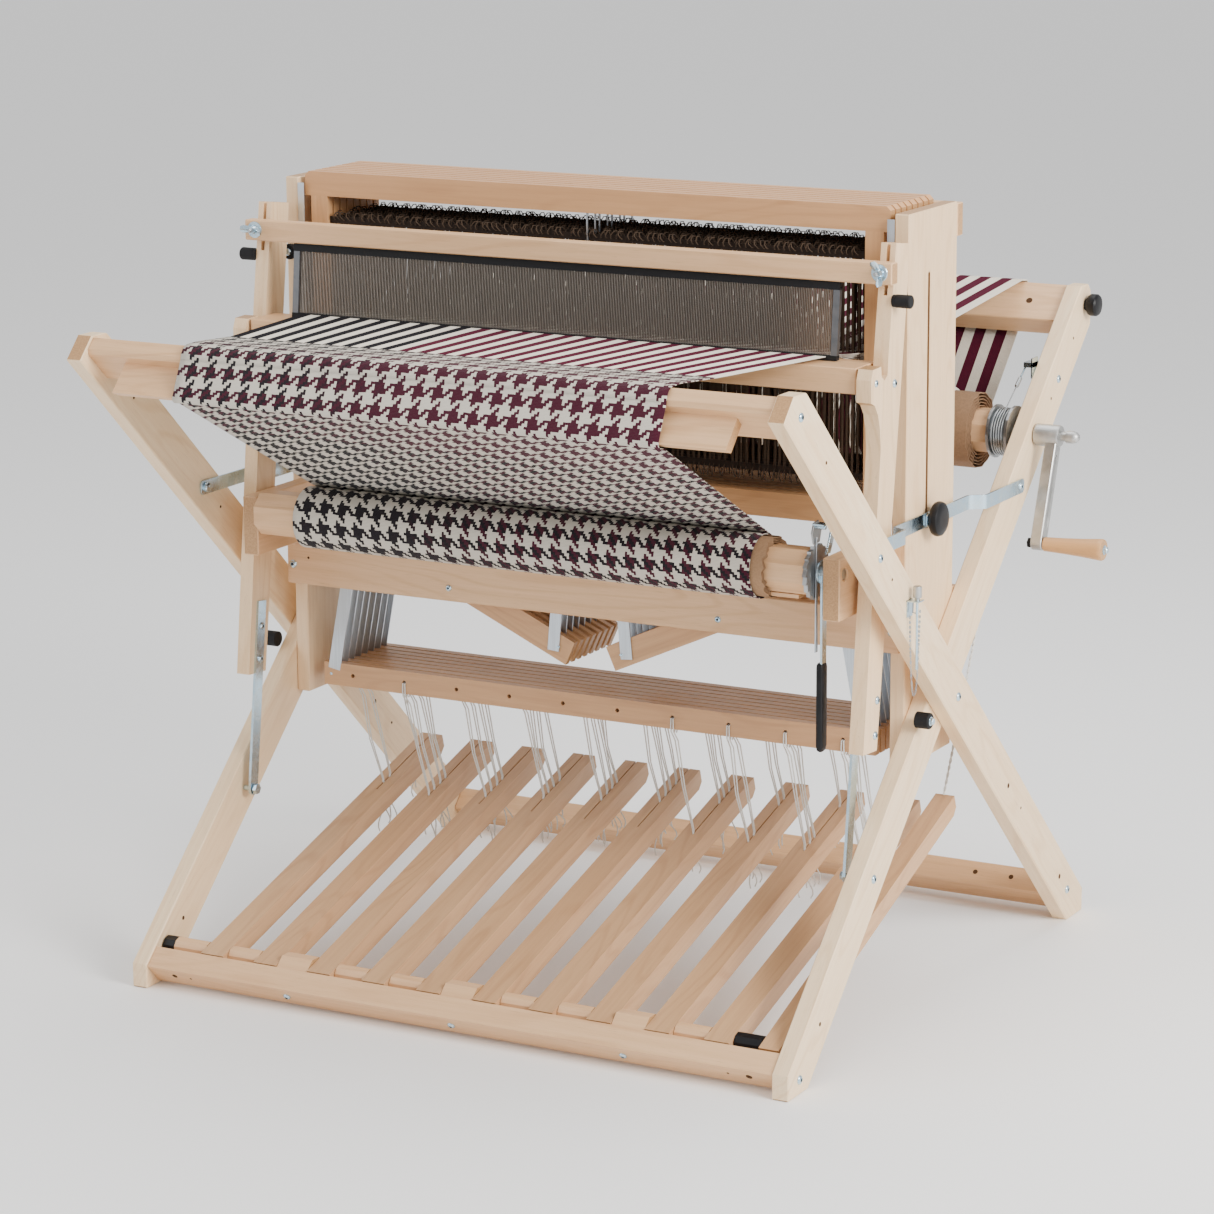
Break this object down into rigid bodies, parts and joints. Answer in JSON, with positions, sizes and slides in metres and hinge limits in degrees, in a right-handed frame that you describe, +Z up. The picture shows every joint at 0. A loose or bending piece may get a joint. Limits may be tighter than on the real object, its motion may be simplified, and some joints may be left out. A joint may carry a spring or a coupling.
{
  "type": "floor loom",
  "caption": "Folding floor loom with crossed side frames, a castle of lifting shafts, lamms and jacks, a swinging beater, foot treadles and cranked beams.",
  "frame": {"origin": "on the floor under the middle of the bounding box", "axes": "+X to the weaver's right, +Y away from the weaver, +Z up"},
  "size_m": [1.233, 1.1158, 1.154],
  "materials": {
    "maple": "clear satin lacquer on light maple",
    "maple_shaft": "clear satin lacquer, a little darker",
    "zinc_steel": "bright zinc plate",
    "cast_aluminium": "as cast, matte",
    "reed_steel": "fine wires between taped bars",
    "houndstooth_cloth": "woven cotton",
    "wound_warp": "wound yarn and packing paper"
  },
  "bodies": {
    "castle": {"castle_side_left": "maple", "castle_side_right": "maple", "castle_front_rail": "maple", "castle_back_rail_top": "maple", "castle_back_rail_low": "maple", "cloth_arm_left": "maple", "cloth_arm_right": "maple"},
    "breast_frame": {"breast_leg_left": "maple", "breast_leg_right": "maple", "breast_beam": "maple", "rear_foot_rail": "maple"},
    "back_frame": {"back_leg_left": "maple", "back_leg_right": "maple", "back_beam": "maple", "front_foot_rail": "maple"},
    "front_brace_left": {"front_brace_left": "zinc_steel"},
    "rear_brace_left": {"rear_brace_left": "zinc_steel"},
    "front_brace_right": {"front_brace_right": "zinc_steel"},
    "rear_brace_right": {"rear_brace_right": "zinc_steel"},
    "beater_hanger": {"beater_pivot_bolt": "zinc_steel"},
    "beater": {"beater_side_left": "maple", "beater_side_right": "maple", "beater_handrail": "maple", "beater_sill": "maple", "reed": "reed_steel"},
    "treadle_1": {"treadle_1": "maple"},
    "treadle_2": {"treadle_2": "maple"},
    "treadle_3": {"treadle_3": "maple"},
    "treadle_4": {"treadle_4": "maple"},
    "treadle_5": {"treadle_5": "maple"},
    "treadle_6": {"treadle_6": "maple"},
    "treadle_7": {"treadle_7": "maple"},
    "treadle_8": {"treadle_8": "maple"},
    "treadle_9": {"treadle_9": "maple"},
    "treadle_10": {"treadle_10": "maple"},
    "brake_treadle": {"brake_treadle": "maple"},
    "shaft_1": {"shaft_1": "maple_shaft"},
    "shaft_2": {"shaft_2": "maple_shaft"},
    "shaft_3": {"shaft_3": "maple_shaft"},
    "shaft_4": {"shaft_4": "maple_shaft"},
    "shaft_5": {"shaft_5": "maple_shaft"},
    "shaft_6": {"shaft_6": "maple_shaft"},
    "shaft_7": {"shaft_7": "maple_shaft"},
    "shaft_8": {"shaft_8": "maple_shaft"},
    "lamm_1": {"lamm_1": "maple_shaft"},
    "lamm_2": {"lamm_2": "maple_shaft"},
    "lamm_3": {"lamm_3": "maple_shaft"},
    "lamm_4": {"lamm_4": "maple_shaft"},
    "lamm_5": {"lamm_5": "maple_shaft"},
    "lamm_6": {"lamm_6": "maple_shaft"},
    "lamm_7": {"lamm_7": "maple_shaft"},
    "lamm_8": {"lamm_8": "maple_shaft"},
    "jack_bank_left": {"jack_bank_left": "maple_shaft"},
    "jack_bank_right": {"jack_bank_right": "maple_shaft"},
    "cloth_beam": {"cloth_beam": "maple", "cloth_roll": "houndstooth_cloth"},
    "cloth_lever": {"cloth_lever": "zinc_steel"},
    "warp_beam": {"warp_beam": "maple", "warp_roll": "wound_warp", "crank": "cast_aluminium"}
  },
  "joints": [
    {"name": "breast_fold", "type": "hinge", "parent": "castle", "child": "breast_frame", "pos_m": [-0.0575, 0.01585, 0.4525], "axis": [-1, 0, 0], "range_deg": [0, 27]},
    {"name": "back_fold", "type": "hinge", "parent": "castle", "child": "back_frame", "pos_m": [-0.0575, 0.01585, 0.4525], "axis": [1, 0, 0], "range_deg": [0, 27]},
    {"name": "front_brace_turn_left", "type": "hinge", "parent": "breast_frame", "child": "front_brace_left", "pos_m": [-0.588, -0.25577, 0.70668], "axis": [1, 0, 0], "range_deg": [0, 89.4]},
    {"name": "rear_brace_turn_left", "type": "hinge", "parent": "back_frame", "child": "rear_brace_left", "pos_m": [-0.593, 0.28747, 0.70668], "axis": [-1, 0, 0], "range_deg": [0, 88.1]},
    {"name": "front_brace_turn_right", "type": "hinge", "parent": "breast_frame", "child": "front_brace_right", "pos_m": [0.473, -0.25577, 0.70668], "axis": [1, 0, 0], "range_deg": [0, 89.4]},
    {"name": "rear_brace_turn_right", "type": "hinge", "parent": "back_frame", "child": "rear_brace_right", "pos_m": [0.478, 0.28747, 0.70668], "axis": [-1, 0, 0], "range_deg": [0, 88.1]},
    {"name": "beater_carry", "type": "hinge", "parent": "back_frame", "child": "beater_hanger", "pos_m": [-0.0575, -0.21115, 0.239], "axis": [-1, 0, 0], "range_deg": [0, 15.05]},
    {"name": "beater_swing", "type": "hinge", "parent": "beater_hanger", "child": "beater", "pos_m": [-0.0575, -0.21115, 0.239], "axis": [1, 0, 0], "range_deg": [0, 17]},
    {"name": "treadle_press_1", "type": "hinge", "parent": "back_frame", "child": "treadle_1", "pos_m": [-0.4688, -0.42515, 0.052], "axis": [-1, 0, 0], "range_deg": [0, 10], "stiffness_Nm_per_rad": 3, "springref_deg": -51.57},
    {"name": "treadle_press_2", "type": "hinge", "parent": "back_frame", "child": "treadle_2", "pos_m": [-0.3774, -0.42515, 0.052], "axis": [-1, 0, 0], "range_deg": [0, 10], "stiffness_Nm_per_rad": 3, "springref_deg": -51.57},
    {"name": "treadle_press_3", "type": "hinge", "parent": "back_frame", "child": "treadle_3", "pos_m": [-0.286, -0.42515, 0.052], "axis": [-1, 0, 0], "range_deg": [0, 10], "stiffness_Nm_per_rad": 3, "springref_deg": -51.57},
    {"name": "treadle_press_4", "type": "hinge", "parent": "back_frame", "child": "treadle_4", "pos_m": [-0.1946, -0.42515, 0.052], "axis": [-1, 0, 0], "range_deg": [0, 10], "stiffness_Nm_per_rad": 3, "springref_deg": -51.57},
    {"name": "treadle_press_5", "type": "hinge", "parent": "back_frame", "child": "treadle_5", "pos_m": [-0.1032, -0.42515, 0.052], "axis": [-1, 0, 0], "range_deg": [0, 10], "stiffness_Nm_per_rad": 3, "springref_deg": -51.57},
    {"name": "treadle_press_6", "type": "hinge", "parent": "back_frame", "child": "treadle_6", "pos_m": [-0.0118, -0.42515, 0.052], "axis": [-1, 0, 0], "range_deg": [0, 10], "stiffness_Nm_per_rad": 3, "springref_deg": -51.57},
    {"name": "treadle_press_7", "type": "hinge", "parent": "back_frame", "child": "treadle_7", "pos_m": [0.0796, -0.42515, 0.052], "axis": [-1, 0, 0], "range_deg": [0, 10], "stiffness_Nm_per_rad": 3, "springref_deg": -51.57},
    {"name": "treadle_press_8", "type": "hinge", "parent": "back_frame", "child": "treadle_8", "pos_m": [0.171, -0.42515, 0.052], "axis": [-1, 0, 0], "range_deg": [0, 10], "stiffness_Nm_per_rad": 3, "springref_deg": -51.57},
    {"name": "treadle_press_9", "type": "hinge", "parent": "back_frame", "child": "treadle_9", "pos_m": [0.2624, -0.42515, 0.052], "axis": [-1, 0, 0], "range_deg": [0, 10], "stiffness_Nm_per_rad": 3, "springref_deg": -51.57},
    {"name": "treadle_press_10", "type": "hinge", "parent": "back_frame", "child": "treadle_10", "pos_m": [0.3538, -0.42515, 0.052], "axis": [-1, 0, 0], "range_deg": [0, 10], "stiffness_Nm_per_rad": 3, "springref_deg": -51.57},
    {"name": "brake_press", "type": "hinge", "parent": "back_frame", "child": "brake_treadle", "pos_m": [0.431, -0.42515, 0.052], "axis": [-1, 0, 0], "range_deg": [0, 12], "stiffness_Nm_per_rad": 3, "springref_deg": -51.57},
    {"name": "shaft_lift_1", "type": "slide", "parent": "castle", "child": "shaft_1", "axis": [0, 0, 1], "range_m": [0, 0.085]},
    {"name": "lamm_drop_1", "type": "slide", "parent": "castle", "child": "lamm_1", "axis": [0, 0, -1], "range_m": [0, 0.085]},
    {"name": "shaft_lift_2", "type": "slide", "parent": "castle", "child": "shaft_2", "axis": [0, 0, 1], "range_m": [0, 0.085]},
    {"name": "lamm_drop_2", "type": "slide", "parent": "castle", "child": "lamm_2", "axis": [0, 0, -1], "range_m": [0, 0.085]},
    {"name": "shaft_lift_3", "type": "slide", "parent": "castle", "child": "shaft_3", "axis": [0, 0, 1], "range_m": [0, 0.085]},
    {"name": "lamm_drop_3", "type": "slide", "parent": "castle", "child": "lamm_3", "axis": [0, 0, -1], "range_m": [0, 0.085]},
    {"name": "shaft_lift_4", "type": "slide", "parent": "castle", "child": "shaft_4", "axis": [0, 0, 1], "range_m": [0, 0.085]},
    {"name": "lamm_drop_4", "type": "slide", "parent": "castle", "child": "lamm_4", "axis": [0, 0, -1], "range_m": [0, 0.085]},
    {"name": "shaft_lift_5", "type": "slide", "parent": "castle", "child": "shaft_5", "axis": [0, 0, 1], "range_m": [0, 0.085]},
    {"name": "lamm_drop_5", "type": "slide", "parent": "castle", "child": "lamm_5", "axis": [0, 0, -1], "range_m": [0, 0.085]},
    {"name": "shaft_lift_6", "type": "slide", "parent": "castle", "child": "shaft_6", "axis": [0, 0, 1], "range_m": [0, 0.085]},
    {"name": "lamm_drop_6", "type": "slide", "parent": "castle", "child": "lamm_6", "axis": [0, 0, -1], "range_m": [0, 0.085]},
    {"name": "shaft_lift_7", "type": "slide", "parent": "castle", "child": "shaft_7", "axis": [0, 0, 1], "range_m": [0, 0.085]},
    {"name": "lamm_drop_7", "type": "slide", "parent": "castle", "child": "lamm_7", "axis": [0, 0, -1], "range_m": [0, 0.085]},
    {"name": "shaft_lift_8", "type": "slide", "parent": "castle", "child": "shaft_8", "axis": [0, 0, 1], "range_m": [0, 0.085]},
    {"name": "lamm_drop_8", "type": "slide", "parent": "castle", "child": "lamm_8", "axis": [0, 0, -1], "range_m": [0, 0.085]},
    {"name": "jack_turn_right", "type": "hinge", "parent": "castle", "child": "jack_bank_right", "pos_m": [0.1665, 0.02435, 0.54921], "axis": [0, 1, 0], "range_deg": [0, 26.7]},
    {"name": "jack_turn_left", "type": "hinge", "parent": "castle", "child": "jack_bank_left", "pos_m": [-0.2815, 0.02435, 0.54921], "axis": [0, -1, 0], "range_deg": [0, 26.7]},
    {"name": "cloth_beam_turn", "type": "hinge", "parent": "castle", "child": "cloth_beam", "pos_m": [-0.0575, -0.21115, 0.668], "axis": [1, 0, 0], "continuous": true},
    {"name": "cloth_lever_pull", "type": "hinge", "parent": "castle", "child": "cloth_lever", "pos_m": [0.394, -0.21115, 0.668], "axis": [-1, 0, 0], "range_deg": [0, 35]},
    {"name": "warp_beam_turn", "type": "hinge", "parent": "back_frame", "child": "warp_beam", "pos_m": [-0.0575, 0.34772, 0.77401], "axis": [1, 0, 0], "continuous": true}
  ],
  "couplings": [
    {"joint": "back_fold", "follows": "breast_fold", "ratio": 1},
    {"joint": "front_brace_turn_left", "follows": "breast_fold", "ratio": 3.307},
    {"joint": "rear_brace_turn_left", "follows": "breast_fold", "ratio": 3.26},
    {"joint": "front_brace_turn_right", "follows": "breast_fold", "ratio": 3.307},
    {"joint": "rear_brace_turn_right", "follows": "breast_fold", "ratio": 3.26},
    {"joint": "beater_carry", "follows": "breast_fold", "ratio": 0.5556},
    {"joint": "lamm_drop_1", "follows": "shaft_lift_1", "ratio": 1},
    {"joint": "lamm_drop_2", "follows": "shaft_lift_2", "ratio": 1},
    {"joint": "lamm_drop_3", "follows": "shaft_lift_3", "ratio": 1},
    {"joint": "lamm_drop_4", "follows": "shaft_lift_4", "ratio": 1},
    {"joint": "lamm_drop_5", "follows": "shaft_lift_5", "ratio": 1},
    {"joint": "lamm_drop_6", "follows": "shaft_lift_6", "ratio": 1},
    {"joint": "lamm_drop_7", "follows": "shaft_lift_7", "ratio": 1},
    {"joint": "lamm_drop_8", "follows": "shaft_lift_8", "ratio": 1},
    {"joint": "jack_turn_left", "follows": "jack_turn_right", "ratio": 1}
  ]
}
